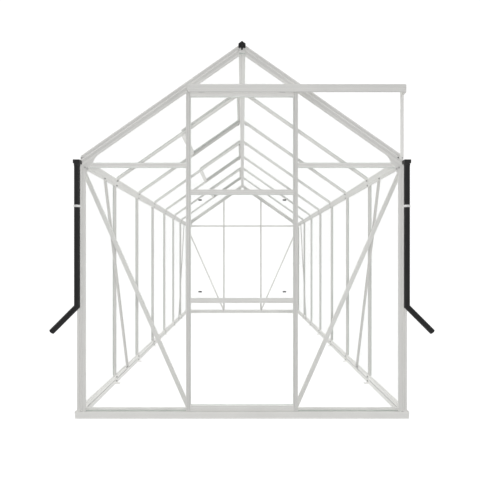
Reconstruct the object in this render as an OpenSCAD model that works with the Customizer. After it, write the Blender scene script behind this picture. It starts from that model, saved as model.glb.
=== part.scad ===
// Glass greenhouse: aluminium bar frame on a low base, apex roof, sliding door
// hung from a rail, roof vents on the left slope, gutters with downpipes.
// Millimetres. X to the right, Y to the back (door side at -Y), Z up.
// Origin: centre of the bounding box on the ground.

/* [Building] */
// Spacing of the glazing bars along the building
bay = 620; // [500:5:800]
// Number of bays along the building
bays = 7; // [6:1:12]
// Distance from the middle plane to the centre of the side wall bars
wall_x = 941.5; // [800:0.5:1400]
// Height of the underside of the gutter floor
eaves_z = 1466; // [1200:1:2200]
// Roof pitch in degrees
pitch = 35; // [25:0.5:45]
// Distance from the middle plane to the gable bars and door posts
gable_x = 310; // [250:1:450]

/* [Base and sill] */
// Height of the outer lip of the base rail
base_h = 41; // [25:1:120]
// Height of the inner step of the base rail
base_step = 28; // [10:1:100]
// Thickness of the outer lip of the base rail
base_lip = 12; // [4:1:30]
// How far the base rail stands out beyond the side wall bar centres
base_out = 20.5; // [14:0.5:60]
// How far the base rail stands out in front of the first bar plane
base_front = 28; // [26:1:33]
// Height of the top of the sill
sill_top = 58; // [45:1:160]

/* [Glazing bars] */
// Depth of a glazing bar
bar_d = 25; // [20:0.5:40]
// Width of the glass seat flange
flange_w = 24; // [16:1:40]
// Thickness of the glass seat flange
flange_t = 3; // [2:0.5:5]
// Width of the inner stem
stem_w = 10; // [6:1:20]
// Width of the bolt slot in the inner face of a glazing bar
slot_w = 4.5; // [2:0.5:8]
// Depth of the bolt slot
slot_d = 6; // [2:0.5:10]
// Width of the outer fin between two panes
fin_w = 5; // [3:0.5:10]
// Height of the outer fin above the glass seat
fin_h = 9; // [6:0.5:15]
// Thickness of the glass
glass_t = 4; // [3:0.5:8]

/* [Corner posts and rafters] */
// Width of the front leg of a corner post
post_w = 50; // [35:1:90]
// Thickness of the corner post, rafter and corner plate legs
leg_t = 4; // [2.5:0.5:8]
// Front face of posts and rafters in front of the first bar plane
face_d = 25; // [22:1:27]
// Height of the rafter face below the bar centre line
rafter_low = 44; // [25:1:80]
// Height of the rafter face above the bar centre line
rafter_high = 8; // [7.5:0.5:12]

/* [Ridge] */
// Half width of the ridge beam
ridge_hw = 19; // [12:0.5:40]
// Depth of the ridge beam below the bar centre line crossing
ridge_low = 47; // [30:1:90]
// Height of the ridge beam top above the bar centre line crossing
ridge_high = 16; // [10:1:30]

/* [Gable bars and braces] */
// Height of the cross bars in the gables
cross_h = 26; // [18:1:45]
// Width of the diagonal braces
brace_w = 23; // [15:1:40]
// Depth of the upstanding leg of a brace
brace_d = 14; // [6:1:24]
// Thickness of a brace
brace_t = 3; // [2:0.5:5]

/* [Gutters and downpipes] */
// Outer width of the gutter from its inner wall
gutter_w = 36; // [28:1:80]
// Height of the outer gutter wall
gutter_wall = 24; // [20:1:60]
// Outer radius of the downpipes
pipe_r = 15.5; // [12:0.5:20]
// Wall thickness of the downpipes
pipe_t = 2; // [1.5:0.5:4]
// Distance of the downpipe axis in front of the first bar plane
pipe_d = 46; // [42:1:60]
// Height of the downpipe bend
bend_z = 648; // [300:1:1000]
// Length of the slanted spout
spout_l = 205; // [120:1:300]
// Length of the thicker rim inside the open end of a spout
rim_l = 60; // [20:1:80]
// Extra wall thickness of that rim
rim_t = 0.3; // [0.1:0.1:1]
// Height of the underside of the pipe clips
clip_z = 1213; // [700:1:1400]

/* [Door] */
// Half width of the door
door_hw = 318; // [312:1:360]
// Width of the door stiles
stile_w = 26; // [18:1:50]
// Height of the underside of the door
door_z0 = 56; // [45:1:80]
// Height of the top of the door
door_z1 = 1864; // [1700:1:1900]
// Depth of the door frame bars
door_t = 22; // [15:1:25]
// Back face of the door in front of the first bar plane
door_d = 34; // [30:1:40]
// Height of the middle of the lower door cross bar
door_bar1 = 682; // [300:1:900]
// Height of the middle of the upper door cross bar
door_bar2 = 1299; // [1000:1:1600]
// Height of the door rail above the underside of its back flange line
rail_h = 42; // [36:1:70]
// Distance of the roller centres from the middle of the door
roller_x = 230; // [120:1:270]

/* [Roof vents] */
// Length of a vent down the slope
vent_l = 515; // [300:5:700]
// Thickness of the vent frame
vent_t = 11.5; // [8:0.5:20]
// Width of the vent frame bars
vent_bar = 18; // [12:1:30]

/* [Hidden] */
cos_p = cos(pitch);
tan_p = tan(pitch);
in_v = -bar_d/2;
seat_v = bar_d/2 - fin_h;
in_x = wall_x + in_v;
gut_x = in_x - 4;
apex_z = eaves_z + 38.3 + gut_x*tan_p;
rail_front = 64;
cap_d = 31;
ys = (rail_front - cap_d)/2;
yf = -bays*bay/2 + ys;
yr = bays*bay/2 + ys;
post_top = eaves_z - 19;
cross_z = eaves_z - 6;
gap = 1;
gl_d0 = bar_d/2 + seat_v;
gl_d1 = gl_d0 + glass_t;
rail_z = door_z1 + 1;
gut_out = gut_x + gutter_w;
pipe_x = wall_x - 1.5;
post_in = wall_x + 7.5 - post_w;
brace_run = 626;
side_run = 519.5;
vent_bays = [1, 3, 5];
$fn = 48;

function yk(k) = yf + k*bay;
function fy(d) = yf - d;
function rz(a, v) = apex_z - a*tan_p + v/cos_p;

bar_pts = [
  [-stem_w/2, in_v], [-slot_w/2, in_v], [-slot_w/2, in_v + slot_d], [slot_w/2, in_v + slot_d],
  [slot_w/2, in_v], [stem_w/2, in_v], [stem_w/2, seat_v - flange_t],
  [flange_w/2, seat_v - flange_t], [flange_w/2, seat_v], [fin_w/2, seat_v],
  [fin_w/2, bar_d/2], [-fin_w/2, bar_d/2], [-fin_w/2, seat_v],
  [-flange_w/2, seat_v], [-flange_w/2, seat_v - flange_t],
  [-stem_w/2, seat_v - flange_t]];

module both_sides() { children(); mirror([1, 0, 0]) children(); }
module both_ends() { children(); far_end() children(); }
module far_end() { translate([0, 2*ys, 0]) mirror([0, 1, 0]) children(); }
module block(x0, x1, y0, y1, z0, z1) {
  translate([x0, y0, z0]) cube([x1 - x0, y1 - y0, z1 - z0]);
}
module xz_prism(pts, y0, y1) {
  translate([0, y1, 0]) rotate([90, 0, 0]) linear_extrude(height = y1 - y0) polygon(pts);
}
module yz_prism(pts, x0, x1) {
  translate([x0, 0, 0]) rotate([90, 0, 90]) linear_extrude(height = x1 - x0) polygon(pts);
}
module slab(a0, a1, v0, v1, y0, y1) {
  xz_prism([[a0, rz(a0, v0)], [a1, rz(a1, v0)], [a1, rz(a1, v1)], [a0, rz(a0, v1)]], y0, y1);
}
module slope_box(s0, s1, v0, v1, y0, y1) {
  translate([0, 0, apex_z]) rotate([0, pitch, 0])
    translate([s0, y0, v0]) cube([s1 - s0, y1 - y0, v1 - v0]);
}

module end_base_rails() {
  color("silver") both_ends() union() {
    yz_prism([[fy(base_front), 0], [fy(0), 0], [fy(0), base_step],
      [fy(base_front - base_lip), base_step], [fy(base_front - base_lip), base_h],
      [fy(base_front), base_h]], -wall_x - base_out, wall_x + base_out);
    both_sides() block(wall_x + base_out - base_lip, wall_x + base_out,
      fy(base_front), fy(0), 0, base_h);
  }
}

module side_base_rails() {
  color("silver") both_sides() xz_prism([[in_x, 0], [wall_x + base_out, 0],
    [wall_x + base_out, base_h], [wall_x + base_out - base_lip, base_h],
    [wall_x + base_out - base_lip, base_step], [in_x, base_step]], yf, yr);
}

module end_sills() {
  color("gainsboro") both_ends() block(-post_in - 14, post_in + 14,
    fy(gl_d0), fy(0), base_step, sill_top);
}

module side_sills() {
  color("gainsboro") both_sides() block(in_x, wall_x + seat_v, yf + 21, yr - 21,
    base_step, sill_top);
}

module corner_posts() {
  xo = wall_x + 7.5;
  color("silver") both_ends() both_sides()
    translate([0, 0, base_h]) linear_extrude(height = post_top - base_h) polygon([
      [xo, fy(face_d)], [xo - 13.5, fy(face_d)], [xo - 13.5, fy(face_d - 1.5)],
      [xo - 16, fy(face_d - 1.5)], [xo - 16, fy(face_d)],
      [post_in, fy(face_d)], [post_in, fy(face_d - leg_t)],
      [post_in + 14, fy(face_d - leg_t)], [post_in + 14, fy(0)], [post_in + 26, fy(0)],
      [post_in + 26, fy(face_d - leg_t)], [xo - 7, fy(face_d - leg_t)],
      [xo - 7, fy(-20)], [xo - 4, fy(-20)], [xo - 4, fy(-12)], [xo, fy(-12)]]);
}

module gable_bar(x) {
  intersection() {
    translate([0, 0, sill_top]) linear_extrude(height = apex_z - sill_top)
      polygon([for (p = bar_pts) [x + p[0], fy(bar_d/2 + p[1])]]);
    xz_prism([[0, 0], [gable_x*2, 0], [gable_x*2, rz(gable_x*2, -rafter_low)],
      [0, rz(0, -rafter_low)]], fy(40), fy(-20));
  }
}

module door_posts() { color("silver") both_sides() gable_bar(gable_x); }

module rear_gable_bars() { color("silver") far_end() both_sides() gable_bar(gable_x); }

module wall_bars_right() {
  for (k = [1 : bays - 1])
    translate([0, 0, sill_top]) linear_extrude(height = eaves_z - sill_top)
      polygon([for (p = bar_pts) [wall_x + p[1], yk(k) + p[0]]]);
}

module left_wall_bars() { color("silver") mirror([1, 0, 0]) wall_bars_right(); }
module right_wall_bars() { color("silver") wall_bars_right(); }

module gutter_right() {
  xz_prism([[gut_x, post_top], [in_x, post_top], [in_x, eaves_z], [gut_out, eaves_z],
    [gut_out, eaves_z + gutter_wall], [gut_out - 3, eaves_z + gutter_wall],
    [gut_out - 3, eaves_z + 3], [in_x, eaves_z + 3], [in_x, rz(in_x, seat_v)],
    [gut_x, rz(gut_x, seat_v)]], fy(face_d), yr + face_d);
}

module left_eaves_gutter() { color("silver") mirror([1, 0, 0]) gutter_right(); }
module right_eaves_gutter() { color("silver") gutter_right(); }

module ridge_beam() {
  color("silver") xz_prism([[-ridge_hw, apex_z - ridge_low], [ridge_hw, apex_z - ridge_low],
    [ridge_hw, apex_z], [0, apex_z + ridge_high], [-ridge_hw, apex_z]],
    fy(face_d), yr + face_d);
}

module roof_bars_right() {
  for (k = [1 : bays - 1]) union() {
    slab(ridge_hw, gut_x, in_v + slot_d, seat_v, yk(k) - stem_w/2, yk(k) + stem_w/2);
    slab(ridge_hw, gut_x, in_v, seat_v, yk(k) - stem_w/2, yk(k) - slot_w/2);
    slab(ridge_hw, gut_x, in_v, seat_v, yk(k) + slot_w/2, yk(k) + stem_w/2);
    slab(ridge_hw, gut_x, seat_v - flange_t, seat_v, yk(k) - flange_w/2, yk(k) + flange_w/2);
    slab(ridge_hw, gut_x, seat_v - flange_t, bar_d/2, yk(k) - fin_w/2, yk(k) + fin_w/2);
  }
}

module left_roof_bars() { color("silver") mirror([1, 0, 0]) roof_bars_right(); }
module right_roof_bars() { color("silver") roof_bars_right(); }

module rafters_front() {
  both_sides() union() {
    slab(ridge_hw, gut_x, -rafter_low, rafter_high, fy(face_d), fy(face_d - leg_t));
    slab(ridge_hw, gut_x, seat_v - flange_t, seat_v, fy(face_d - leg_t + 1), fy(-12));
  }
}

module gable_rafters() { color("silver") both_ends() rafters_front(); }

module cross_side() {
  block(gable_x + flange_w/2, gut_x, fy(face_d - leg_t), fy(0), cross_z - cross_h/2, cross_z + cross_h/2);
}

module front_gable_crossbars() { color("silver") both_sides() cross_side(); }

module rear_gable_crossbars() {
  color("silver") far_end() {
    both_sides() cross_side();
    block(-gable_x + flange_w/2, gable_x - flange_w/2, fy(face_d - leg_t), fy(0),
      cross_z - cross_h/2, cross_z + cross_h/2);
  }
}

module door_header() {
  z0 = rail_z + 14;
  z1 = z0 + cross_h;
  a0 = (apex_z - rafter_low/cos_p - z0)/tan_p;
  a1 = (apex_z - rafter_low/cos_p - z1)/tan_p;
  color("silver") xz_prism([[-min(a0, gable_x - flange_w/2), z0], [min(a0, gable_x - flange_w/2), z0],
    [min(a0, gable_x - flange_w/2), rz(min(a0, gable_x - flange_w/2), -rafter_low)], [a1, z1], [-a1, z1],
    [-min(a0, gable_x - flange_w/2), rz(min(a0, gable_x - flange_w/2), -rafter_low)]],
    fy(face_d), fy(0));
}

module gable_brace() {
  zt = eaves_z - 28;
  zb = base_step + 15;
  slope = brace_run/(eaves_z - 51);
  at = wall_x - 3.5 - (eaves_z - zt)*slope;
  ab = wall_x - 3.5 - (eaves_z - zb)*slope;
  hw = brace_w/2*sqrt(1 + slope*slope);
  tw = brace_t*sqrt(1 + slope*slope);
  union() {
    xz_prism([[at - hw, zt], [at + hw, zt], [ab + hw, zb], [ab - hw, zb]], fy(0), fy(-brace_t));
    xz_prism([[at - hw, zt], [at - hw + tw, zt], [ab - hw + tw, zb], [ab - hw, zb]],
      fy(0), fy(-brace_d));
  }
}

module gable_braces() { color("silver") both_ends() both_sides() gable_brace(); }

module wall_brace() {
  zt = post_top;
  zb = base_step + 12;
  slope = side_run/1395;
  yt = yk(0.58) + (eaves_z - 6 - zt)*slope;
  yb = yk(0.58) + (eaves_z - 6 - zb)*slope;
  hw = brace_w/2*sqrt(1 + slope*slope);
  tw = brace_t*sqrt(1 + slope*slope);
  union() {
    yz_prism([[yt - hw, zt], [yt + hw, zt], [yb + hw, zb], [yb - hw, zb]], in_x - brace_t, in_x);
    yz_prism([[yt + hw - tw, zt], [yt + hw, zt], [yb + hw, zb], [yb + hw - tw, zb]],
      in_x - brace_d, in_x);
  }
}

module wall_braces() { color("silver") both_sides() both_ends() wall_brace(); }

module corner_plate() {
  a0 = post_in;
  p0 = [a0 - 40, cross_z + cross_h/2 - 7];
  p2 = [a0 - 67, rz(a0 - 67, -rafter_low)];
  p1 = [a0 - 44, rz(a0 - 44, -rafter_low) - 10];
  curve = [for (i = [0 : 6]) let (t = i/6) (1 - t)*(1 - t)*p0 + 2*t*(1 - t)*p1 + t*t*p2];
  xz_prism(concat([[gut_x, post_top], [a0, post_top], [a0, eaves_z - 70],
    [a0 - 19, cross_z - cross_h/2]], curve, [[gut_x, rz(gut_x, -rafter_low)]]),
    fy(face_d), fy(face_d - leg_t));
}

module eaves_corner_plates() { color("silver") both_ends() both_sides() corner_plate(); }

module door_rail() {
  z0 = rail_z;
  z1 = rail_z + rail_h;
  color("lightgray") yz_prism([[fy(face_d), z0 + 12], [fy(40), z0 + 12], [fy(40), z0 + 15],
    [fy(28), z0 + 15], [fy(28), z1 - 3], [fy(61), z1 - 3], [fy(61), z0 - 5],
    [fy(rail_front), z0 - 5], [fy(rail_front), z1], [fy(face_d), z1]], -308, 922);
}

module door_rail_caps() {
  color("gray") {
    block(-314, -308, fy(rail_front), fy(face_d), rail_z + 12, rail_z + rail_h);
    union() {
      block(922, 930, fy(rail_front), fy(face_d + 3), rail_z - 5, rail_z + rail_h);
      block(922, 930, fy(rail_front), fy(face_d), rail_z + 12, rail_z + rail_h);
    }
  }
}

module door_rail_strut() {
  color("silver") block(910, 929.5, fy(face_d + 3), fy(face_d), eaves_z + 29, rail_z + 12);
}

module vent_at(k) {
  s0 = 16;
  s1 = s0 + vent_l;
  v0 = bar_d/2 + 0.01;
  v1 = v0 + vent_t;
  y0 = yk(k) - 6;
  y1 = yk(k + 1) + 6;
  difference() {
    slope_box(s0, s1, v0, v1, y0, y1);
    slope_box(s0 + vent_bar, s1 - vent_bar, v0 - 1, v1 + 1, y0 + vent_bar, y1 - vent_bar);
  }
}

module roof_vent_frames() { color("darkgray") mirror([1, 0, 0]) for (k = vent_bays) vent_at(k); }

module roof_vent_glass() {
  color("azure") mirror([1, 0, 0]) for (k = vent_bays)
    slope_box(16 + vent_bar, 16 + vent_l - vent_bar, bar_d/2 + 3, bar_d/2 + 3 + glass_t,
      yk(k) - 6 + vent_bar, yk(k + 1) + 6 - vent_bar);
}

module roof_vent_sills() {
  color("silver") mirror([1, 0, 0]) for (k = vent_bays)
    slope_box(16 + vent_l - 12, 16 + vent_l + 21, seat_v, bar_d/2,
      yk(k) + fin_w/2 + gap, yk(k + 1) - fin_w/2 - gap);
}

module outlet_right() {
  z0 = eaves_z - 8;
  xo = gut_out - 3;
  xi = xo - 37.5;
  difference() {
    union() {
      block(xi, xo, fy(62), fy(face_d), z0 + 4, z0 + 24.5);
      translate([pipe_x, fy(pipe_d), z0 - 8]) cylinder(r = pipe_r + 2, h = 13);
      block(xo - 27, xo + 5, fy(face_d + 3), fy(face_d), z0 + 15, z0 + 31);
    }
    block(xi + 4, xo - 4, fy(58), fy(face_d - 1), z0 + 8, z0 + 20.5);
    translate([pipe_x, fy(pipe_d), z0 - 10]) cylinder(r = pipe_r - pipe_t, h = 20);
  }
}

module gutter_outlets() { color("dimgray") both_sides() outlet_right(); }

module gutter_end_caps() {
  color("dimgray") far_end() both_sides()
    block(gut_x - 1, gut_out + 2, fy(face_d + 3), fy(face_d), eaves_z - 4, eaves_z + 41);
}

module bend_half(up) {
  translate([pipe_x, fy(pipe_d), bend_z]) rotate([0, -22.5, 0])
    translate([-100, -100, up ? -200 : 0]) cube([200, 200, 200]);
}

module downpipe_right() {
  difference() {
    translate([pipe_x, fy(pipe_d), bend_z - 40]) cylinder(r = pipe_r, h = eaves_z - 16 - bend_z + 40);
    translate([pipe_x, fy(pipe_d), bend_z - 60])
      cylinder(r = pipe_r - pipe_t, h = eaves_z - bend_z + 80);
    bend_half(true);
  }
}

module downpipes() { color("dimgray") both_sides() downpipe_right(); }

module spout_right() {
  difference() {
    translate([pipe_x, fy(pipe_d), bend_z]) rotate([0, 135, 0])
      translate([0, 0, -30]) cylinder(r = pipe_r, h = spout_l + 30);
    translate([pipe_x, fy(pipe_d), bend_z]) rotate([0, 135, 0]) {
      translate([0, 0, -60]) cylinder(r = pipe_r - pipe_t, h = spout_l - rim_l + 60);
      cylinder(r = pipe_r - pipe_t - rim_t, h = spout_l + 60);
    }
    bend_half(false);
  }
}

module downpipe_spouts() { color("dimgray") both_sides() spout_right(); }

module pipe_clip_right() {
  difference() {
    union() {
      translate([pipe_x, fy(pipe_d), clip_z]) cylinder(r = pipe_r + 3, h = 13);
      block(pipe_x - 7, pipe_x + 7, fy(pipe_d - 14), fy(face_d), clip_z, clip_z + 13);
    }
    translate([pipe_x, fy(pipe_d), clip_z - 10]) cylinder(r = pipe_r + 0.2, h = 30);
  }
}

module pipe_clips() { color("white") both_sides() pipe_clip_right(); }

module ridge_end_caps() {
  z = apex_z;
  color("dimgray") both_ends() xz_prism([[-20.8, z + 3.5], [0, z + 19], [20.8, z + 3.5], [20.8, z - 18],
    [16, z - 21], [11, z - 21], [8, z - 18], [5.5, z - 19], [4.5, z - 31.5], [-4.5, z - 31.5],
    [-5.5, z - 19], [-8, z - 18], [-11, z - 21], [-16, z - 21], [-20.8, z - 18]],
    fy(cap_d), fy(face_d));
}

module base_brackets() {
  color("silver") both_sides() for (k = [1 : bays - 1]) difference() {
    union() {
      block(in_x - 3, in_x, yk(k) - 13, yk(k) + 13, 0, sill_top - 3);
      block(in_x - 31, in_x, yk(k) - 13, yk(k) + 13, 0, 3);
    }
    translate([in_x - 18, yk(k), -1]) cylinder(r = 4, h = 5);
  }
}

module gable_side_glass() {
  xo = post_in + 12;
  xi = gable_x + fin_w/2 + 1.5*gap;
  block(xi, xo, fy(gl_d1), fy(gl_d0), base_h + 2, cross_z - cross_h/2 - gap);
  xz_prism([[xi, cross_z + cross_h/2 + gap], [xo, cross_z + cross_h/2 + gap],
    [xo, rz(xo, -6)], [xi, rz(xi, -6)]], fy(gl_d1), fy(gl_d0));
}

module gable_top_glass(z0) {
  xi = min(gable_x - fin_w/2 - 1.5*gap, (apex_z - 6/cos_p - z0)/tan_p - 1);
  zt = apex_z - ridge_low - gap;
  at = (apex_z - 6/cos_p - zt)/tan_p;
  xz_prism([[-xi, z0], [xi, z0], [xi, rz(xi, -6)], [at, zt], [-at, zt], [-xi, rz(xi, -6)]],
    fy(gl_d1), fy(gl_d0));
}

module front_glass() {
  color("azure") {
    both_sides() gable_side_glass();
    gable_top_glass(rail_z + 14 + cross_h + gap);
  }
}

module rear_glass() {
  color("azure") far_end() {
    both_sides() gable_side_glass();
    block(-gable_x + fin_w/2 + 1.5*gap, gable_x - fin_w/2 - 1.5*gap, fy(gl_d1), fy(gl_d0),
      base_h + 2, cross_z - cross_h/2 - gap);
    gable_top_glass(cross_z + cross_h/2 + gap);
  }
}

module wall_glass_right() {
  for (k = [0 : bays - 1])
    block(wall_x + seat_v, wall_x + seat_v + glass_t,
      k == 0 ? yf + 13 : yk(k) + fin_w/2 + 2.5*gap,
      k == bays - 1 ? yr - 13 : yk(k + 1) - fin_w/2 - 2.5*gap,
      base_h + 2, eaves_z - 2);
}

module left_wall_glass() { color("azure") mirror([1, 0, 0]) wall_glass_right(); }
module right_wall_glass() { color("azure") wall_glass_right(); }

module roof_pane(k, a0) {
  slab(a0, in_x + 3, seat_v, seat_v + glass_t,
    k == 0 ? fy(face_d - leg_t - gap) : yk(k) + fin_w/2 + 2.5*gap,
    k == bays - 1 ? yr + face_d - leg_t - gap : yk(k + 1) - fin_w/2 - 2.5*gap);
}

module left_roof_glass() {
  color("azure") mirror([1, 0, 0]) for (k = [0 : bays - 1])
    roof_pane(k, (k == 1 || k == 3 || k == 5) ? (16 + vent_l + 21)*cos_p + 12 : ridge_hw + 0.5);
}

module right_roof_glass() {
  color("azure") for (k = [0 : bays - 1]) roof_pane(k, ridge_hw + 0.5);
}

module door_stiles() {
  color("silver") both_sides() block(door_hw - stile_w, door_hw,
    fy(door_d + door_t), fy(door_d), door_z0, door_z1);
}

module door_bar(z0, z1) {
  block(-door_hw + stile_w, door_hw - stile_w, fy(door_d + door_t), fy(door_d), z0, z1);
}

module door_crossbars() {
  color("silver") {
    door_bar(door_z0, door_z0 + 31);
    door_bar(door_bar1 - 14, door_bar1 + 14);
    door_bar(door_bar2 - 14, door_bar2 + 14);
    door_bar(door_z1 - 21, door_z1);
  }
}

module door_pane(z0, z1) {
  block(-door_hw + stile_w, door_hw - stile_w, fy(door_d + 9 + glass_t), fy(door_d + 9), z0, z1);
}

module door_glass() {
  color("azure") {
    door_pane(door_z0 + 31, door_bar1 - 14);
    door_pane(door_bar1 + 14, door_bar2 - 14);
    door_pane(door_bar2 + 14, door_z1 - 21);
  }
}

module door_rollers() {
  zc = rail_z + 15.3 + 9;
  color("gray") both_sides() translate([roller_x, 0, 0]) union() {
    block(-16, 16, fy(49), fy(46), door_z1, zc + 8);
    translate([0, fy(31), zc]) rotate([90, 0, 0]) cylinder(r = 9, h = 8);
    translate([0, fy(31), zc]) rotate([90, 0, 0]) cylinder(r = 3.5, h = 17);
  }
}

module door_glass_clips() {
  yb = door_d + 9 + glass_t;
  color("dimgray") for (x = [-240, 240]) for (z = [door_bar1 + 50, door_bar2 - 45])
    block(x - 11.5, x + 11.5, fy(yb + 5), fy(yb), z - 4, z + 4);
}

end_base_rails();
side_base_rails();
end_sills();
side_sills();
corner_posts();
door_posts();
rear_gable_bars();
left_wall_bars();
right_wall_bars();
left_eaves_gutter();
right_eaves_gutter();
ridge_beam();
left_roof_bars();
right_roof_bars();
gable_rafters();
front_gable_crossbars();
rear_gable_crossbars();
door_header();
gable_braces();
wall_braces();
eaves_corner_plates();
door_rail();
door_rail_caps();
door_rail_strut();
roof_vent_frames();
roof_vent_glass();
roof_vent_sills();
gutter_outlets();
gutter_end_caps();
downpipes();
downpipe_spouts();
pipe_clips();
ridge_end_caps();
base_brackets();
front_glass();
rear_glass();
left_wall_glass();
right_wall_glass();
left_roof_glass();
right_roof_glass();
door_stiles();
door_crossbars();
door_glass();
door_rollers();
door_glass_clips();
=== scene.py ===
import bpy, bmesh, math
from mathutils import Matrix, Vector


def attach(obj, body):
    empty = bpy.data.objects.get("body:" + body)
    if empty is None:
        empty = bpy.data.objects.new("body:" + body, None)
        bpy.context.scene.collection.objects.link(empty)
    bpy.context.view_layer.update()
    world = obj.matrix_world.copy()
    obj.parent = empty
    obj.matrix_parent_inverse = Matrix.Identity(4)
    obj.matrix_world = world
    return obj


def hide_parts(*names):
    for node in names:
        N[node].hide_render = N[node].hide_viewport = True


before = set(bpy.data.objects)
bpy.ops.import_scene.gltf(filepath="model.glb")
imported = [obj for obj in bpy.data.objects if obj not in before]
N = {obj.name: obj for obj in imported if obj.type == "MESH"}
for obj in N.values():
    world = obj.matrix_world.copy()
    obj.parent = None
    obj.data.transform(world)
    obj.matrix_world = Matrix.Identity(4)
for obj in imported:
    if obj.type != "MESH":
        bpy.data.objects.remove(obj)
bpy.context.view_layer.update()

# Glass greenhouse: aluminium bar frame, sliding door, roof vents, gutters with downpipes.
# Lengths in this script are millimetres in the row frame until a mesh is written.

sc = bpy.context.scene

YS, YF, YR, BAY = 16.5, -2153.5, 2186.5, 620.0
EAVES, PITCH = 1466.0, math.radians(35)
TAN, COS, SIN = math.tan(PITCH), math.cos(PITCH), math.sin(PITCH)
APEX = EAVES + 38.3 + 925 * TAN
SIDES = (1, -1)
ENDS = (False, True)


def yk(k):
    return YF + BAY * k


def Y(d, rear=False):
    return 2 * YS - (YF - d) if rear else YF - d


def rz(a, v):
    return APEX - a * TAN + v / COS


# ---------------------------------------------------------------- materials

class Tree:
    def __init__(self, name):
        self.m = bpy.data.materials.new(name)
        self.m.use_nodes = True
        self.nt = self.m.node_tree
        self.b = self.nt.nodes["Principled BSDF"]
        self.out = self.nt.nodes["Material Output"]

    def add(self, kind, props=None, **inputs):
        n = self.nt.nodes.new(kind)
        for k, v in (props or {}).items():
            setattr(n, k, v)
        for k, v in inputs.items():
            n.inputs[k.replace("_", " ")].default_value = v
        return n

    def link(self, a, b):
        self.nt.links.new(a, b)

    def math(self, op, a, b=None, c=None):
        n = self.nt.nodes.new("ShaderNodeMath")
        n.operation = op
        for i, s in enumerate((a, b, c)):
            if s is None:
                continue
            if isinstance(s, (int, float)):
                n.inputs[i].default_value = s
            else:
                self.link(s, n.inputs[i])
        return n.outputs[0]

    def ramp(self, fac, stops):
        n = self.nt.nodes.new("ShaderNodeValToRGB")
        e = n.color_ramp.elements
        while len(e) < len(stops):
            e.new(0.5)
        for i, (p, c) in enumerate(stops):
            e[i].position = p
            e[i].color = (*c, 1)
        self.link(fac, n.inputs[0])
        return n.outputs[0]

    def span(self, fac, lo, hi, a=0.0, b=1.0):
        n = self.nt.nodes.new("ShaderNodeMapRange")
        n.inputs[1].default_value, n.inputs[2].default_value = a, b
        n.inputs[3].default_value, n.inputs[4].default_value = lo, hi
        self.link(fac, n.inputs[0])
        return n.outputs[0]

    def coords(self, scale=(1, 1, 1), turn=(0, 0, 0), mirrored=False):
        src = self.add("ShaderNodeTexCoord").outputs["Object"]
        if mirrored:
            ab = self.add("ShaderNodeVectorMath", {"operation": "ABSOLUTE"})
            self.link(src, ab.inputs[0])
            src = ab.outputs[0]
        rot = self.add("ShaderNodeMapping")
        rot.inputs["Rotation"].default_value = turn
        self.link(src, rot.inputs[0])
        mp = self.add("ShaderNodeMapping")
        mp.inputs["Scale"].default_value = scale
        self.link(rot.outputs[0], mp.inputs[0])
        return mp.outputs[0]

    def noise(self, vec, scale, detail=3.0, rough=0.5):
        n = self.add("ShaderNodeTexNoise", None, Scale=scale, Detail=detail, Roughness=rough)
        self.link(vec, n.inputs["Vector"])
        return n.outputs["Fac"]

    def bump(self, height, strength, dist):
        n = self.add("ShaderNodeBump", None, Strength=strength, Distance=dist)
        self.link(height, n.inputs["Height"])
        self.link(n.outputs[0], self.b.inputs["Normal"])


DIRS = {
    "x": ((1.2, 260, 260), (0, 0, 0), False),
    "y": ((260, 1.2, 260), (0, 0, 0), False),
    "z": ((260, 260, 1.2), (0, 0, 0), False),
    "roof": ((1.2, 260, 260), (0, -PITCH, 0), True),
    "brace": ((260, 260, 1.2), (0, math.radians(23.9), 0), True),
    "plate": ((120, 120, 120), (0, 0, 0), False),
}
_alu = {}


def alu(tone, way, edge=False):
    """Extruded mill aluminium: die lines along the bar, soft mottling, brighter rubbed edges."""
    key = (round(tone, 3), way, edge)
    if key in _alu:
        return _alu[key]
    t = Tree("aluminium_%s_%03d%s" % (way, round(tone * 1000), "_edge" if edge else ""))
    scale, turn, mir = DIRS[way]
    lines = t.noise(t.coords(scale, turn, mir), 1.0, 3.0, 0.55)
    cloud = t.noise(t.coords(), 5.5, 4.0, 0.6)
    fac = t.math("ADD", t.math("MULTIPLY", lines, 0.55), t.math("MULTIPLY", cloud, 0.45))
    k = tone * (1.07 if edge else 1.0)
    amp = 0.05 if edge else 0.035
    warm = (1.0, 0.994, 0.966)
    col = t.ramp(fac, [
        (0.30, tuple(k * (1 - 1.4 * amp) * w for w in warm)),
        (0.50, tuple(k * w for w in warm)),
        (0.72, tuple(min(0.98, k * (1 + amp)) * w for w in warm))])
    t.link(col, t.b.inputs["Base Color"])
    t.b.inputs["Metallic"].default_value = 0.18
    t.b.inputs["Specular IOR Level"].default_value = 0.45
    lo, hi = (0.26, 0.40) if edge else (0.38, 0.54)
    t.link(t.span(fac, lo, hi, 0.3, 0.7), t.b.inputs["Roughness"])
    t.bump(lines, 0.10, 0.0003)
    _alu[key] = t.m
    return t.m


def plastic(name, lo, hi, r0, r1, grain=700.0, strength=0.25):
    t = Tree(name)
    v = t.coords()
    fine = t.noise(v, grain, 2.0, 0.5)
    cloud = t.noise(v, 9.0, 4.0, 0.6)
    fac = t.math("ADD", t.math("MULTIPLY", fine, 0.35), t.math("MULTIPLY", cloud, 0.65))
    t.link(t.ramp(fac, [(0.3, lo), (0.7, hi)]), t.b.inputs["Base Color"])
    t.link(t.span(cloud, r0, r1, 0.3, 0.7), t.b.inputs["Roughness"])
    t.bump(fine, strength, 0.0004)
    return t.m


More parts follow.
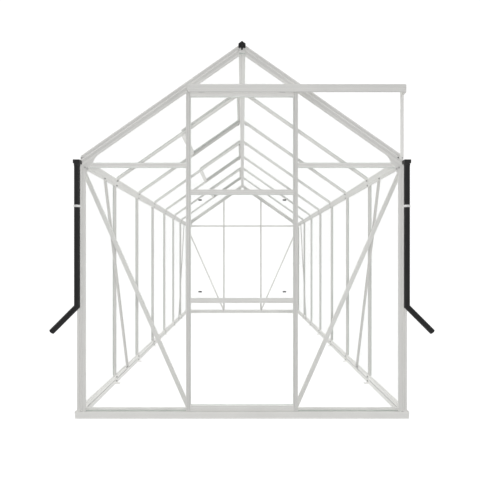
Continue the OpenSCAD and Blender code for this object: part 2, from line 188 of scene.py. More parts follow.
def steel(name, tone):
    t = Tree(name)
    v = t.coords()
    fine = t.noise(v, 420.0, 3.0, 0.6)
    cloud = t.noise(v, 30.0, 3.0, 0.6)
    fac = t.math("ADD", t.math("MULTIPLY", fine, 0.5), t.math("MULTIPLY", cloud, 0.5))
    t.link(t.ramp(fac, [(0.3, (tone * 0.8,) * 3), (0.55, (tone, tone, tone * 0.98)),
                        (0.8, (tone * 1.2, tone * 1.2, tone * 1.15))]), t.b.inputs["Base Color"])
    t.b.inputs["Metallic"].default_value = 0.6
    t.link(t.span(fac, 0.3, 0.5, 0.3, 0.7), t.b.inputs["Roughness"])
    t.bump(fine, 0.2, 0.0003)
    return t.m


def glass(name, body, base, tint, rough=0.02, gloss=0.22):
    """Clear float glass: see-through with a gloss that grows at grazing angles and a faint film of dust."""
    t = Tree(name)
    v = t.coords()
    film = t.noise(v, 3.2, 5.0, 0.62)
    streak = t.noise(t.coords((9, 9, 1.1)), 1.0, 4.0, 0.6)
    dirt = t.math("MULTIPLY", t.span(film, 0.0, 1.0, 0.48, 0.75), t.span(streak, 0.2, 1.0, 0.4, 0.7))
    t.link(t.ramp(dirt, [(0.0, base), (1.0, tuple(min(1, c * 1.04) for c in base))]), t.b.inputs["Base Color"])
    t.link(t.span(dirt, rough, rough + 0.10), t.b.inputs["Roughness"])
    t.b.inputs["Specular IOR Level"].default_value = 0.5
    fr = t.add("ShaderNodeFresnel", None, IOR=1.45)
    a = t.math("ADD", t.math("MULTIPLY_ADD", fr.outputs[0], gloss, body), t.math("MULTIPLY", dirt, 0.012))
    clear = t.add("ShaderNodeBsdfTransparent", None, Color=(*tint, 1))
    mix = t.add("ShaderNodeMixShader")
    t.link(a, mix.inputs[0])
    t.link(clear.outputs[0], mix.inputs[1])
    t.link(t.b.outputs[0], mix.inputs[2])
    t.link(mix.outputs[0], t.out.inputs["Surface"])
    return t.m


BLACK = plastic("black_plastic", (0.010, 0.010, 0.0105), (0.019, 0.019, 0.0195), 0.42, 0.55)
# the outlet boxes' black is lighter than the pipes': painted sheen standing in for the boxes' brighter highlights
BLACK_BOX = plastic("black_plastic_box", (0.014, 0.014, 0.0145), (0.026, 0.026, 0.0265), 0.40, 0.52)
BLACK_EDGE = plastic("black_plastic_edge", (0.018, 0.018, 0.0185), (0.034, 0.034, 0.034), 0.34, 0.48)
GREY = plastic("dark_grey_plastic", (0.070, 0.070, 0.070), (0.100, 0.100, 0.099), 0.42, 0.55)
GREY_EDGE = plastic("dark_grey_plastic_edge", (0.085, 0.085, 0.085), (0.120, 0.120, 0.119), 0.34, 0.48)
CLIP = plastic("clip_plastic", (0.58, 0.58, 0.575), (0.67, 0.67, 0.66), 0.36, 0.5, 500.0, 0.12)
CLIP_EDGE = plastic("clip_plastic_edge", (0.66, 0.66, 0.65), (0.74, 0.74, 0.73), 0.3, 0.42, 500.0, 0.1)
NYLON = plastic("roller_nylon", (0.16, 0.16, 0.165), (0.24, 0.24, 0.24), 0.35, 0.5, 300.0, 0.15)
# bolts: zinc steel, made darker still as painted shade standing in for the shadow round each head
BOLT = steel("zinc_steel_and_painted_shade", 0.22)
PANE = glass("float_glass", 0.020, (0.88, 0.905, 0.89), (0.9975, 0.998, 0.9965), gloss=0.10)
PANE_EDGE = glass("float_glass_edge", 0.22, (0.70, 0.86, 0.80), (0.93, 0.985, 0.96), 0.12)

# Aluminium tones per part: one aluminium in lighter and darker copies, painted light and shade that even out how each
# part is lit.
LIGHT, MID, LOW, BEAM, BAR = 0.81, 0.74, 0.66, 0.77, 0.69


# ---------------------------------------------------------------- mesh building

def fillet(pts, r=0.6, seg=2, edge=1):
    """Rounds the corners of an outline. Returns (u, v, m): m is the material of the face to the next point."""
    n = len(pts)
    area = sum(pts[i][0] * pts[(i + 1) % n][1] - pts[(i + 1) % n][0] * pts[i][1] for i in range(n))
    s = 1 if area > 0 else -1
    out = []
    for i in range(n):
        p, a, b = Vector(pts[i][:2]), Vector(pts[i - 1][:2]), Vector(pts[(i + 1) % n][:2])
        m = pts[i][2] if len(pts[i]) > 2 else 0
        da, db = a - p, b - p
        la, lb = da.length, db.length
        turn = math.pi - da.angle(db)
        if turn < math.radians(18):
            out.append((p.x, p.y, m))
            continue
        q = min(r, 0.42 * la, 0.42 * lb)
        pa, pb = p + da / la * q, p + db / lb * q
        convex = s * ((-da.x) * db.y - (-da.y) * db.x) > 0
        em = edge if convex else m
        for j in range(seg + 1):
            w = j / seg
            c = pa * (1 - w) ** 2 + p * (2 * w * (1 - w)) + pb * w ** 2
            out.append((c.x, c.y, m if j == seg else em))
    return out


def both(half):
    """Mirrors a half outline about u = 0."""
    return half + [(-p[0],) + tuple(p[1:]) for p in reversed(half) if abs(p[0]) > 1e-6]


class Build:
    def __init__(self):
        self.bm = bmesh.new()

    def vert(self, p):
        return self.bm.verts.new(Vector(p) * 0.001)

    def face(self, vs, m=0, smooth=False):
        try:
            f = self.bm.faces.new(vs)
        except ValueError:
            return
        f.material_index = m
        f.smooth = smooth

    def prism(self, prof, place, t0, t1, cap=0):
        ends = []
        for t in (t0, t1):
            ends.append([self.vert(place(p[0], p[1], t(p[0], p[1]) if callable(t) else t)) for p in prof])
        n = len(prof)
        for i in range(n):
            j = (i + 1) % n
            self.face([ends[0][i], ends[0][j], ends[1][j], ends[1][i]], prof[i][2] if len(prof[i]) > 2 else 0)
        self.face(ends[0][::-1], cap)
        self.face(ends[1], cap)

    def rings(self, rows, closed=False, m=0, smooth=True, caps=True, mats=None):
        """Rows of points of equal length, joined row to row. closed joins the last row to the first."""
        vs = [[self.vert(p) for p in r] for r in rows]
        n = len(vs[0])
        k = len(vs)
        for i in range(k if closed else k - 1):
            a, b = vs[i], vs[(i + 1) % k]
            for j in range(n):
                self.face([a[j], a[(j + 1) % n], b[(j + 1) % n], b[j]], mats[i] if mats else m, smooth)
        if caps and not closed:
            self.face(vs[0][::-1], m)
            self.face(vs[-1], m)

    def lathe(self, prof, o, ax, n=24, m=0, closed=False, start=0.0, mats=None, smooth=True):
        o, ax = Vector(o), Vector(ax).normalized()
        ref = Vector((0, 0, 1)) if abs(ax.z) < 0.9 else Vector((1, 0, 0))
        e1 = ax.cross(ref).normalized()
        e2 = ax.cross(e1)
        rows = [[o + ax * h + (e1 * math.cos(start + 2 * math.pi * j / n)
                               + e2 * math.sin(start + 2 * math.pi * j / n)) * r for j in range(n)]
                for r, h in prof]
        self.rings(rows, closed, m, smooth, True, mats)

    def bolt(self, o, ax, r=5.6, h=4.0, washer=7.0, turn=0.3):
        """Hex head on a washer, standing on a face at o that faces along ax."""
        o, ax = Vector(o), Vector(ax).normalized()
        if washer:
            self.lathe([(washer, -0.4), (washer, 1.0), (washer - 0.5, 1.4)], o, ax, 16, 0, smooth=False)
            o = o + ax * 1.2
        self.lathe([(r, 0), (r, h - 0.8), (r * 0.86, h)], o, ax, 6, 0, start=turn, smooth=False)
        self.lathe([(r * 0.45, h - 0.5), (r * 0.45, h + 1.2), (r * 0.34, h + 1.8)], o, ax, 10, 0, smooth=False)

    def screw(self, o, ax, r=5.0):
        """Low round head with a socket."""
        o, ax = Vector(o), Vector(ax).normalized()
        self.lathe([(r, -0.4), (r, 0.9), (r * 0.86, 1.8), (r * 0.5, 2.2), (r * 0.46, 1.0)], o, ax, 16, 0, smooth=False)

    def add_node(self, name, width=0.7, seg=2, edge=1, min_angle=25):
        """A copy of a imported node's solids with rounded edges, one solid at a time."""
        src = bmesh.new()
        src.from_mesh(N[name].data)
        bmesh.ops.remove_doubles(src, verts=src.verts, dist=2e-5)
        bmesh.ops.dissolve_limit(src, angle_limit=math.radians(1.0), verts=src.verts, edges=src.edges)
        seen = set()
        src.verts.ensure_lookup_table()
        for v0 in src.verts:
            if v0.index in seen:
                continue
            stack, part = [v0], []
            seen.add(v0.index)
            while stack:
                v = stack.pop()
                part.append(v)
                for e in v.link_edges:
                    w = e.other_vert(v)
                    if w.index not in seen:
                        seen.add(w.index)
                        stack.append(w)
            one = bmesh.new()
            vm = {v: one.verts.new(v.co) for v in part}
            for f in {f for v in part for f in v.link_faces}:
                try:
                    one.faces.new([vm[v] for v in f.verts])
                except ValueError:
                    pass
            bmesh.ops.recalc_face_normals(one, faces=one.faces)
            es = [e for e in one.edges if len(e.link_faces) == 2
                  and e.calc_face_angle(0) > math.radians(min_angle)]
            if width and es:
                bmesh.ops.bevel(one, geom=es, offset=width * 0.001, offset_type="OFFSET", segments=seg,
                                profile=0.6, affect="EDGES", clamp_overlap=True, material=edge)
            wm = {v: self.bm.verts.new(v.co) for v in one.verts}
            for f in one.faces:
                try:
                    g = self.bm.faces.new([wm[v] for v in f.verts])
                    g.material_index = f.material_index
                except ValueError:
                    pass
            one.free()
        src.free()

    def done(self, name, mats, body, nodes=(), sharp=40):
        bm = self.bm
        bmesh.ops.recalc_face_normals(bm, faces=bm.faces)
        me = bpy.data.meshes.new(name)
        used = sorted({f.material_index for f in bm.faces})
        for f in bm.faces:
            f.material_index = used.index(f.material_index)
        bm.to_mesh(me)
        bm.free()
        for i in used:
            me.materials.append(mats[i])
        me.set_sharp_from_angle(angle=math.radians(sharp))
        ob = bpy.data.objects.new(name, me)
        sc.collection.objects.link(ob)
        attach(ob, body)
        if nodes:
            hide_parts(*nodes)
        return ob


def metal(tone, way, inner=None):
    """Face, rubbed edge, groove darkened as painted shade, joint gap in near-black painted shade, inner face lightened
    as painted light, foot of a face darkened as painted shade.
    """
    return [alu(tone, way), alu(tone, way, True), alu(tone * 0.93, way), alu(0.16, way), alu(inner or tone, way), alu(tone * 0.78, way)]


def on_slope(sx, s, v, y):
    return (sx * (s * COS + v * SIN), y, APEX - s * SIN + v * COS)


# ---------------------------------------------------------------- base and sills

# Base rail outline: (distance out from its inner face, height), with a thin upright lip and a foot band.
# The side rails lean out a little towards the lip.
def base_outline(w, lip, lean):
    # painted light and shade: the foot band takes the lighter edge copy (1), the top of the base in the gap under the
    # sill is near-black painted shade (3), the inner face is lightened as painted light (4)
    return fillet([(0, 0), (w - lean, 0, 1), (w - 0.8 * lean, 8.6), (w, 40.2), (w - lip, 40.2), (w - lip, 28),
                   (14, 28, 3), (0, 28, 4)], 0.6)


def leaned(v):
    return 33 - 3.5 * (1 - v / 41)


b = Build()
for rear in ENDS:
    prof = base_outline(28, 2.0, 0)
    # the corners are cut on the line from the inner to the outer corner
    cut = lambda u, v: 929 + leaned(v) * u / 28
    b.prism(prof, lambda u, v, t, r=rear: (t, Y(u, r), v), lambda u, v: -cut(u, v), cut)
b.done("end_base", metal(0.83, "x", 0.92), "frame", ["end_base_rails"])

b = Build()
for sx in SIDES:
    prof = base_outline(33, 2.4, 3.5)
    b.prism(prof, lambda u, v, t, s=sx: (s * (929 + u), t, v),
            lambda u, v: Y(28 * u / leaned(v)), lambda u, v: Y(28 * u / leaned(v), True))
b.done("side_base", metal(0.82, "y", 0.90), "frame", ["side_base_rails"])

b = Build()
for rear in ENDS:
    # painted light and shade: the faces behind the lip are darkened (5), the gap face is near-black (3), the recess
    # above is darkened (2), the back faces are lightened (4)
    prof = fillet([(0, 29.6), (12, 29.6, 3), (12, 28), (16, 28, 5), (16, 38.4, 5), (12.6, 39.4, 5), (12.6, 44.4, 2), (16, 46.2),
                   (16, 58), (0, 58, 4), (0, 55), (2.5, 55, 4), (2.5, 34), (0, 34, 4)], 0.6)
    b.prism(prof, lambda u, v, t, r=rear: (t, Y(u, r), v), -913, 913)
b.done("end_sill_bars", metal(0.82, "x", 0.94), "frame", ["end_sills"])

b = Build()
for sx in SIDES:
    # painted light and shade: the gap face is near-black painted shade (3), the inner faces are lightened as painted
    # light (4)
    prof = fillet([(0, 31.2), (14, 31.2, 3), (14, 28), (16, 28), (16, 58), (11, 58), (11, 55.5), (9, 55.5), (9, 58),
                   (0, 58, 4), (0, 54), (1.2, 53, 4), (1.2, 37), (0, 36, 4)], 0.6)
    b.prism(prof, lambda u, v, t, s=sx: (s * (929 + u), t, v), YF + 21, YR - 21)
b.done("side_sill_bars", metal(LIGHT, "y", 0.96), "frame", ["side_sills"])

# ---------------------------------------------------------------- posts and bars

b = Build()
for rear in ENDS:
    for sx in SIDES:
        # the grooves (2) are darkened as painted shade
        prof = fillet([
            (949, -12), (949, 25), (936, 25, 2), (935.2, 22.6, 2), (932.6, 22.6, 2), (931.8, 25), (922.8, 25, 2),
            (922.2, 23.0, 2), (920.4, 23.0, 2), (919.8, 24.6), (903.2, 24.6, 2), (902.6, 23.6, 2),
            (901.6, 23.6, 2), (901, 25), (899, 25), (899, 21), (913, 21), (913, 0), (916.8, 0), (916.8, 2),
            (915.4, 2), (915.4, 6.5), (922.6, 6.5), (922.6, 2), (921.2, 2), (921.2, 0), (925, 0), (925, 21),
            (942, 21), (942, -20), (945, -20), (945, -12)], 0.6)
        b.prism(prof, lambda u, v, t, s=sx, r=rear: (s * u, Y(v, r), t), 41, 1447)
b.done("corner_post_bars", metal(0.775, "z"), "frame", ["corner_posts"])

# Glazing bar: bolt channel inside, seat flange with drip lips and fine ribs, fin with a bead.
# the bolt channel's floor and sides (2) are darkened as painted shade
BAR_PROF = fillet(both([
    (0, -6.2, 2), (3.6, -6.2, 2), (3.6, -11.0, 2), (2.25, -11.0, 2), (2.25, -12.5), (5, -12.5), (5, 0.5), (11.0, 0.5),
    (11.0, -0.4), (12, -0.4), (12, 3.5), (10.4, 3.5), (10.0, 3.0), (9.2, 3.0), (8.8, 3.5), (4.4, 3.5), (4.0, 3.0),
    (3.2, 3.0), (2.8, 3.5), (1.7, 4.4), (1.7, 10.0), (2.5, 10.8), (2.5, 12.5)]), 0.45)
# the outline runs from the channel floor round the right side, over the bead and back down the left side

for name, nodes, rear in (("door_post_bars", ["door_posts"], False), ("rear_gable_glazing_bars", ["rear_gable_bars"], True)):
    b = Build()
    for sx in SIDES:
        b.prism(BAR_PROF, lambda u, v, t, s=sx, r=rear: (s * (310 + u), Y(12.5 + v, r), t),
                58, lambda u, v: rz(310 + u, -44))
    b.done(name, metal(MID, "z"), "frame", nodes)

for sx, side in ((-1, "left"), (1, "right")):
    b = Build()
    for k in range(1, 7):
        b.prism(BAR_PROF, lambda u, v, t, s=sx, k=k: (s * (941.5 + v), yk(k) + u, t), 58, 1466)
    b.done(side + "_wall_glazing_bars", metal(BAR, "z"), "frame", [side + "_wall_bars"])
    b = Build()
    for k in range(1, 7):
        place = lambda u, v, t: (sx * t, yk(k) + u, rz(t, v))
        if sx < 0 and k in (2, 4, 6):
            # the stretch beside a vent is darkened (5) as painted shade, where the vent frame shades the bar
            rows = [[b.vert(place(p[0], p[1], t)) for p in BAR_PROF] for t in (19, 440, 925)]
            for i, p in enumerate(BAR_PROF):
                j = (i + 1) % len(BAR_PROF)
                b.face([rows[0][i], rows[0][j], rows[1][j], rows[1][i]], 5)
                b.face([rows[1][i], rows[1][j], rows[2][j], rows[2][i]], p[2] if len(p) > 2 else 0)
            b.face(rows[0][::-1], 0)
            b.face(rows[2], 0)
        else:
            b.prism(BAR_PROF, place, 19, 925)
    b.done(side + "_roof_glazing_bars", metal(0.74, "roof"), "frame", [side + "_roof_bars"])

# ---------------------------------------------------------------- gutters, ridge, rafters

for sx, side in ((-1, "left"), (1, "right")):
    b = Build()
    zt0, zt1 = rz(925, 3.5), rz(929, 3.5)
    prof = fillet([
        (925, 1447), (929, 1447), (929, 1466), (961, 1466), (961, 1490), (955.6, 1490), (955.6, 1487.6), (958, 1487.0),
        (958, 1469), (929, 1469), (929, zt1), (925, zt0), (925, 1496), (926, 1495), (926, 1476.5), (925, 1475.5),
        (925, 1465), (926, 1464.4), (926, 1461.6), (925, 1461)], 0.5)
    b.prism(prof, lambda u, v, t, s=sx: (s * u, t, v), Y(25), Y(25, True))
    b.done(side + "_gutter", metal(BEAM, "y"), "frame", [side + "_eaves_gutter"])

b = Build()
# the ridge's grooves (2) are darkened as painted shade
prof = fillet(both([
    (0, 2105), (8.0, 2105, 2), (8.6, 2106.2, 2), (10.4, 2106.2, 2), (11.0, 2105), (19, 2105), (19, 2110), (16, 2112.5, 2), (16, 2124, 2), (19, 2126.5),
    (19, 2152), (16.5, 2154.2), (3.5, 2165), (0, 2168)]), 0.7)
b.prism(prof, lambda u, v, t: (u, t, v), Y(25), Y(25, True))
b.done("ridge", metal(MID, "y"), "frame", ["ridge_beam"])

b = Build()
for rear in ENDS:
    for sx in SIDES:
        # (distance in front, height across the slope): upper flange, bead, set-back lower flange
        # painted light and shade: the set-back strips are darkened (2), the top strip and the lower flange face are
        # lightened (4)
        prof = fillet([
            (25, 8, 4), (25, 2.0, 2), (24.0, 1.2, 2), (24.0, -8.6, 2), (25, -9.6), (25, -13.6), (24.2, -14.8, 2),
            (22.0, -15.6, 2), (22.0, -27.4, 2), (21.6, -28.0, 2), (21.6, -29.6, 2), (22.2, -30.4, 4), (22.2, -41.6), (23.6, -42.4),
            (23.6, -44), (20.3, -44), (20.3, -14), (21.6, -12), (21.6, 0.5), (-12, 0.5), (-12, 3.5), (21.0, 3.5), (21.0, 8)], 0.5)
        b.prism(prof, lambda u, v, t, s=sx, r=rear: (s * t, Y(u, r), rz(t, v)), 19, 925)
b.done("gable_rafter_bars", metal(0.765, "roof", 0.82), "frame", ["gable_rafters"])

# the crossbar's groove (2) is darkened as painted shade
CROSS = [(0, -13), (21, -13), (21, -4.5, 2), (19.8, -3.6, 2), (19.8, 3.6, 2), (21, 4.5), (21, 13), (0, 13), (0, 3), (3, 3),
         (3, -3), (0, -3)]
b = Build()
for sx in SIDES:
    b.prism(fillet(CROSS, 0.6), lambda u, v, t, s=sx: (s * t, Y(u), 1460 + v), 322, 925)
b.done("front_crossbars", metal(0.85, "x"), "frame", ["front_gable_crossbars"])
b = Build()
for sx in SIDES:
    b.prism(fillet(CROSS, 0.6), lambda u, v, t, s=sx: (s * t, Y(u, True), 1460 + v), 322, 925)
b.prism(fillet(CROSS, 0.6), lambda u, v, t: (t, Y(u, True), 1460 + v), -298, 298)
b.done("rear_crossbars", metal(0.82, "x"), "frame", ["rear_gable_crossbars"])

b = Build()
# the head bar's groove (2) is darkened as painted shade
head = fillet([(0, 1879), (25, 1879), (25, 1888, 2), (23.8, 1889, 2), (23.8, 1895, 2), (25, 1896), (25, 1905), (0, 1905)], 0.6)
reach = lambda u, v: min(298.0, (APEX - 44 / COS - v) / TAN)
b.prism(head, lambda u, v, t: (t, Y(u), v), lambda u, v: -reach(u, v), reach)
b.done("door_head_bar", metal(LIGHT, "x"), "frame", ["door_header"])

# ---------------------------------------------------------------- braces, plates, brackets

# the tones below are painted light and shade: one aluminium lightened or darkened per part
for name, node, tone, way, w in (
        ("gable_brace_bars", "gable_braces", LIGHT, "brace", 0.8),
        ("wall_brace_bars", "wall_braces", 0.63, "z", 0.8),
        ("eaves_plates", "eaves_corner_plates", MID, "plate", 0.7),
        ("base_feet", "base_brackets", LIGHT, "plate", 0.6),
        ("rail_strut", "door_rail_strut", 0.89, "z", 0.7),
        ("vent_sill_bars", "roof_vent_sills", LIGHT, "y", 0.8),
        ("rail_end_caps", "door_rail_caps", MID, "plate", 0.8)):
    b = Build()
    b.add_node(node, w)
    b.done(name, metal(tone, way), "frame", [node])

# ---------------------------------------------------------------- door rail and roof vents

b = Build()
# the lowest strip of the front lip (5) is darkened as painted shade
prof = fillet([
    (25, 1877), (40, 1877), (40, 1880), (28, 1880), (28, 1905), (61, 1905), (61, 1872), (60, 1863.0), (62.0, 1863.0, 5),
    (62.3, 1866.5), (63.2, 1876), (63.2, 1881), (64, 1883), (64, 1888), (63.2, 1890.5), (63.2, 1904.5), (64, 1905.6), (63.2, 1908.4),
    (25, 1908.4)], 0.5)
b.prism(prof, lambda u, v, t: (t, Y(u), v), -308, 922)
b.done("sliding_rail", metal(0.775, "x"), "frame", ["door_rail"])

b = Build()
# vent frames in the darker tone LOW as painted shade; their groove (2) is painted shade too
VP = fillet([(0, 12.51), (0, 24), (3.6, 24), (4.4, 22.6, 2), (12.6, 22.6, 2), (13.4, 24), (18, 24), (18, 20.2), (15.5, 20.2),
             (15.5, 15.4), (18, 15.4), (18, 12.51)], 0.6)
for k in (1, 3, 5):
    s0, s1, y0, y1 = 16, 531, yk(k) - 6, yk(k + 1) + 6
    b.prism(VP, lambda u, v, t: on_slope(-1, t, v, y0 + u), lambda u, v: s0 + u, lambda u, v: s1 - u)
    b.prism(VP, lambda u, v, t: on_slope(-1, t, v, y1 - u), lambda u, v: s0 + u, lambda u, v: s1 - u)
    b.prism(VP, lambda u, v, t: on_slope(-1, s0 + u, v, t), lambda u, v: y0 + u, lambda u, v: y1 - u)
    b.prism(VP, lambda u, v, t: on_slope(-1, s1 - u, v, t), lambda u, v: y0 + u, lambda u, v: y1 - u)
b.done("vent_frames", metal(LOW, "roof"), "frame", ["roof_vent_frames"])

# ---------------------------------------------------------------- rain water goods

b = Build()
PY, PX = Y(46), 940.0
for sx in SIDES:
    ring = [(math.cos(2 * math.pi * j / 32), math.sin(2 * math.pi * j / 32)) for j in range(32)]
    q = math.tan(math.radians(22.5))
    h = math.sqrt(0.5)

    def upright(r, z):
        return [(sx * (PX + r * c), PY + r * s, z) for c, s in ring]

    def bend(r):
        return [(sx * (PX + r * c), PY + r * s, 648 + r * c * q) for c, s in ring]

    def slant(r, t):
        return [(sx * (PX + t * h + r * c * h), PY + r * s, 648 - t * h + r * c * h) for c, s in ring]

    rows = [upright(16.1, 1450), bend(16.1), slant(16.1, 203.6), slant(15.4, 205), slant(13.2, 205),
            slant(13.2, 145), slant(13.5, 145), bend(13.5), upright(13.5, 1450)]
    b.rings(rows, closed=True, m=0, smooth=True, mats=[0, 0, 1, 1, 0, 0, 0, 0, 0])
pipes = b.done("rain_pipes", [BLACK, BLACK_EDGE], "frame", ["downpipes", "downpipe_spouts"], 30)

b = Build()
b.add_node("gutter_outlets", 1.6, 3)
for sx in SIDES:
    for x in (926, 953):
        b.screw((sx * x, Y(61.8), 1473), (0, -1, 0), 2.8)
outlets = b.done("outlet_boxes", [BLACK_BOX, BLACK_EDGE], "frame", ["gutter_outlets"], 35)

b = Build()
b.add_node("gutter_end_caps", 1.2, 3)
b.done("gutter_stop_ends", [BLACK, BLACK_EDGE], "frame", ["gutter_end_caps"], 35)

b = Build()
b.add_node("ridge_end_caps", 1.2, 3)
for rear in ENDS:
    f = 1 if rear else -1
    for a in (0, 52, 128, 180, 232, 308):
        ca, sa = math.cos(math.radians(a)), math.sin(math.radians(a))
        L = 17 if a in (0, 180) else (18 if a in (52, 128) else 11)
        pr = fillet([(4, -0.9), (L, -0.7), (L, 0.7), (4, 0.9)], 0.3)
        b.prism(pr, lambda u, v, t: (u * ca - v * sa, Y(31, rear) + f * t, APEX - 8 + (u * sa + v * ca) * 0.9), -0.5, 1.2)
    b.lathe([(4.2, -0.4), (4.2, 1.0), (3.4, 1.6)], (0, Y(31, rear), APEX - 8), (0, f, 0), 16, 1, smooth=False)
b.done("ridge_caps", [BLACK, BLACK_EDGE], "frame", ["ridge_end_caps"], 35)

b = Build()
for sx in SIDES:
    o = (sx * PX, PY, 1213)
    b.lathe([(16.3, 0), (18.1, 0), (18.7, 0.7), (18.7, 5.4), (17.8, 6.0), (17.8, 7.0), (18.7, 7.6), (18.7, 12.3), (18.1, 13), (16.3, 13)],
            o, (0, 0, 1), 32, 0, True)
    b.prism(fillet([(-7, 0), (7, 0), (7, 13), (-7, 13)], 0.8), lambda u, v, t: (sx * (PX + u), Y(t), 1213 + v), 25, 29.6)
clips = b.done("pipe_clip_rings", [CLIP, CLIP_EDGE], "frame", ["pipe_clips"], 35)

for ob in (pipes, outlets, clips):
    ob.visible_diffuse = False
    ob.visible_shadow = False

# ---------------------------------------------------------------- door

b = Build()
for sx in SIDES:
    # (distance from the middle, distance in front): outer web, two shallow grooves, raised glazing lip
    prof = fillet([
        # the grooves (2) are darkened as painted shade
        (318, 34), (318, 55.2), (317.2, 56), (312.6, 56, 2), (311.8, 54.6, 2), (309.4, 54.6, 2), (308.6, 56), (301.6, 56, 2),
        (300.6, 52.8, 2), (297.4, 52.8, 2), (296.6, 56), (292, 56), (292, 49), (294.6, 49), (294.6, 42.2), (292, 42.2), (292, 34),
        (302.7, 34), (302.7, 36), (300.8, 36), (300.8, 40), (309.2, 40), (309.2, 36), (307.3, 36), (307.3, 34)], 0.55)
    b.prism(prof, lambda u, v, t, s=sx: (s * u, Y(v), t), 56, 1864)
b.done("door_stile_bars", metal(MID, "z"), "door", ["door_stiles"])

b = Build()


# the grooves (2) are darkened as painted shade
def door_bar(z0, z1, groove, m=0):
    p = [(34, z0), (56, z0, m)]
    for g in groove:
        p += [(56, g - 1.3, 2), (54.4, g - 0.9, 2), (54.4, g + 0.9, 2), (56, g + 1.3, m)]
    p += [(56, z1), (49, z1), (49, z1 - 3), (42, z1 - 3), (42, z1), (34, z1)]
    b.prism(fillet(p, 0.6), lambda u, v, t: (t, Y(u), v), -292, 292)


door_bar(56, 87, (64, 79))
door_bar(668, 696, (675, 689))
door_bar(1285, 1313, (1292, 1306))
# the top bar's front is lightened (4) as painted light against the rail's shadow
door_bar(1843, 1864, (1849, 1858), 4)
b.done("door_rails", metal(0.80, "x", 0.86), "door", ["door_crossbars"])

b = Build()
for sx in SIDES:
    x, zc = sx * 230, 1889.3
    # hanger plate with rounded top, grooved wheel, axle with a nut
    plate = fillet([(-16, 1864), (16, 1864), (16, 1888), (9, 1897.3), (-9, 1897.3), (-16, 1888)], 2.0, 3)
    b.prism([(u, v, 1) for u, v, m in plate], lambda u, v, t: (x + u, Y(t), v), 46, 49)
    b.lathe([(3.5, 0), (9, 0), (9, 1.6), (7.8, 2.6), (7.8, 5.4), (9, 6.4), (9, 8), (3.5, 8)], (x, Y(31), zc), (0, -1, 0), 32, 0, True)
    b.lathe([(3.5, 0), (3.5, 16.4), (3.0, 17)], (x, Y(31), zc), (0, -1, 0), 20, 1)
    b.lathe([(6.2, 0), (6.2, 2.4), (5.4, 3.0)], (x, Y(49), zc), (0, -1, 0), 6, 1, smooth=False)
b.done("door_roller_hangers", [NYLON, BOLT], "door", ["door_rollers"], 35)

b = Build()
for x in (-240, 240):
    for z in (732, 1254):
        pr = fillet([(-8.2, 47), (11.5, 47), (11.5, 50.4), (9.0, 52), (5.4, 52), (4.6, 51), (-1.3, 51), (-2.1, 52), (-5.7, 52), (-8.2, 50.4)], 0.5)
        b.prism(pr, lambda u, v, t: (x + u, Y(v), z + t), -4, 4)
b.done("door_glass_holders", [GREY, GREY_EDGE], "door", ["door_glass_clips"], 35)

# ---------------------------------------------------------------- glass

for node, body in (("front_glass", "frame"), ("rear_glass", "frame"), ("left_wall_glass", "frame"), ("right_wall_glass", "frame"),
                   ("left_roof_glass", "frame"), ("right_roof_glass", "frame"), ("roof_vent_glass", "frame"), ("door_glass", "door")):
    b = Build()
    b.add_node(node, 0.5, 1)
    for f in b.bm.faces:
        f.material_index = 0 if f.calc_area() > 0.03 else 1
    b.done(node.replace("glass", "panes"), [PANE, PANE_EDGE], body, [node])

# ---------------------------------------------------------------- fasteners

b = Build()
for sx in SIDES:
    for k in range(1, 7):
        y = yk(k)
        b.bolt((sx * 925, y, 1457.5), (-sx, 0, 0), 4.6, 3.4, 6.0)
        b.bolt((sx * 926, y, 49), (-sx, 0, 0), 4.6, 3.4, 6.0)
        b.bolt((sx * 926, y, 18), (-sx, 0, 0), 4.6, 3.4, 6.0)
        # roof bar to gutter and to ridge
        for a in (918, 34):
            b.bolt(Vector((sx * a, y, rz(a, -12.5))), (-sx * SIN, 0, -COS), 4.6, 3.4, 6.0)
    for rear in ENDS:
        # diagonal braces
        i = 1 if not rear else -1
        b.bolt((sx * 919, Y(-3, rear), 1424), (0, i, 0), 4.6, 3.4, 6.0)
        b.bolt((sx * 317, Y(-3, rear), 62), (0, i, 0), 4.6, 3.4, 6.0)
        for y, z in ((yk(0.59), 1459), (yk(0.58) + (1460 - 52) * 519.5 / 1395, 50)):
            b.bolt((sx * (925 if z > 1000 else 926), 2 * YS - y if rear else y, z), (-sx, 0, 0), 4.6, 3.4, 6.0)
b.done("frame_bolts", [BOLT], "frame")

b = Build()
for sx in SIDES:
    for rear in ENDS:
        for x, z in ((921, 1500), (903, 1445), (889, 1437)):
            b.bolt((sx * x, Y(25, rear), z), (0, 1 if rear else -1, 0), 4.4, 3.0, 5.6)
# corner bolts in a lighter steel: painted light lifting the heads out of their own shade
b.done("corner_bolts", [steel("bright_steel_and_painted_light", 0.62)], "frame")

b = Build()
b.screw((899, Y(25), 1502), (0, -1, 0), 4.4)
b.done("plate_screw", [BOLT], "frame")

b = Build()
for sx in SIDES:
    for z in (71.5, 682, 1299, 1853):
        b.screw((sx * 305, Y(56), z), (0, -1, 0), 4.2)
b.done("door_screws", [alu(0.72, "plate")], "door")

# ---------------------------------------------------------------- stage

w = bpy.data.worlds.new("studio")
sc.world = w
w.use_nodes = True
nt = w.node_tree
bg = nt.nodes["Background"]
bg.inputs[0].default_value = (1, 1, 1, 1)
bg.inputs[1].default_value = 0.32
bg2 = nt.nodes.new("ShaderNodeBackground")
bg2.inputs[0].default_value = (1, 1, 1, 1)
bg2.inputs[1].default_value = 1.09
lp = nt.nodes.new("ShaderNodeLightPath")
mx = nt.nodes.new("ShaderNodeMixShader")
nt.links.new(lp.outputs["Is Camera Ray"], mx.inputs[0])
nt.links.new(bg.outputs[0], mx.inputs[1])
nt.links.new(bg2.outputs[0], mx.inputs[2])
nt.links.new(mx.outputs[0], nt.nodes["World Output"].inputs[0])
sc.view_settings.view_transform = "Standard"

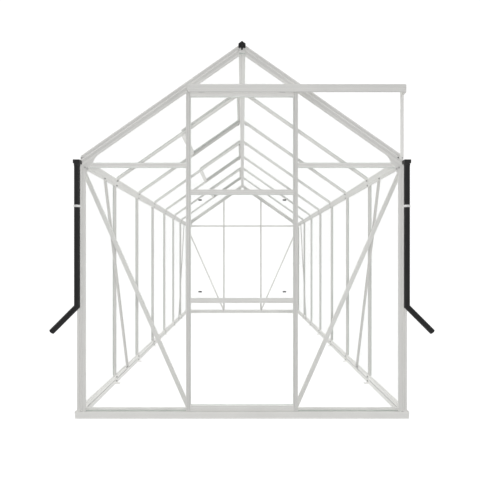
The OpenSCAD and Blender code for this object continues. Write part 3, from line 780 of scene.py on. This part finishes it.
me = bpy.data.meshes.new("floor")
me.from_pydata([(-40, -20, 0), (40, -20, 0), (40, 60, 0), (-40, 60, 0)], [], [(0, 1, 2, 3)])
floor = bpy.data.objects.new("floor", me)
sc.collection.objects.link(floor)
t = Tree("floor_pale")
grain = t.noise(t.coords(), 40.0, 3.0)
t.link(t.ramp(grain, [(0.3, (0.047, 0.047, 0.047)), (0.7, (0.053, 0.053, 0.053))]), t.b.inputs["Base Color"])
t.b.inputs["Roughness"].default_value = 0.9
t.b.inputs["Specular IOR Level"].default_value = 0.1
glow = t.add("ShaderNodeEmission", None, Strength=1.04)
fill = t.add("ShaderNodeEmission", None, Strength=0.27)
lp = t.add("ShaderNodeLightPath")
only = t.add("ShaderNodeMixShader")
t.link(lp.outputs["Is Camera Ray"], only.inputs[0])
t.link(fill.outputs[0], only.inputs[1])
t.link(glow.outputs[0], only.inputs[2])
addn = t.add("ShaderNodeAddShader")
t.link(t.b.outputs[0], addn.inputs[0])
t.link(only.outputs[0], addn.inputs[1])
t.link(addn.outputs[0], t.out.inputs["Surface"])
me.materials.append(t.m)
floor.visible_shadow = False


def sun(name, strength, angle, toward):
    d = bpy.data.lights.new(name, "SUN")
    d.energy = strength
    d.angle = math.radians(angle)
    o = bpy.data.objects.new(name, d)
    o.rotation_euler = Vector(toward).normalized().to_track_quat("-Z", "Y").to_euler()
    o.visible_glossy = False
    sc.collection.objects.link(o)


def lamp(name, power, radius, at):
    """Soft lamp whose light doesn't fall off with distance."""
    d = bpy.data.lights.new(name, "POINT")
    d.energy = power
    d.shadow_soft_size = radius
    d.use_nodes = True
    e = d.node_tree.nodes["Emission"]
    f = d.node_tree.nodes.new("ShaderNodeLightFalloff")
    f.inputs["Strength"].default_value = 1.0
    d.node_tree.links.new(f.outputs["Constant"], e.inputs["Strength"])
    o = bpy.data.objects.new(name, d)
    o.location = at
    o.visible_glossy = False
    sc.collection.objects.link(o)


lamp("front_lamp", 17.9, 0.10, (0.0, -4.4, 0.95))
sun("left_light", 1.75, 40, (0.98, 0.05, -0.18))
sun("right_light", 1.75, 40, (-0.98, 0.05, -0.18))
sun("back_light", 1.25, 40, (0.0, -0.98, -0.2))
sun("under_light", 1.6, 20, (0.0, 0.0, 1.0))
sun("top_light", 1.45, 20, (0.0, 0.0, -1.0))

cam = bpy.data.cameras.new("cam")
cam.lens = 29.79
cam.sensor_width = 36
cam.shift_x = -0.00546
cam.shift_y = 0.0375
cam.clip_end = 200
co = bpy.data.objects.new("cam", cam)
co.location = (0.0036, -4.4635, 0.924)
co.rotation_euler = (math.radians(90), 0, 0)
sc.collection.objects.link(co)
sc.camera = co
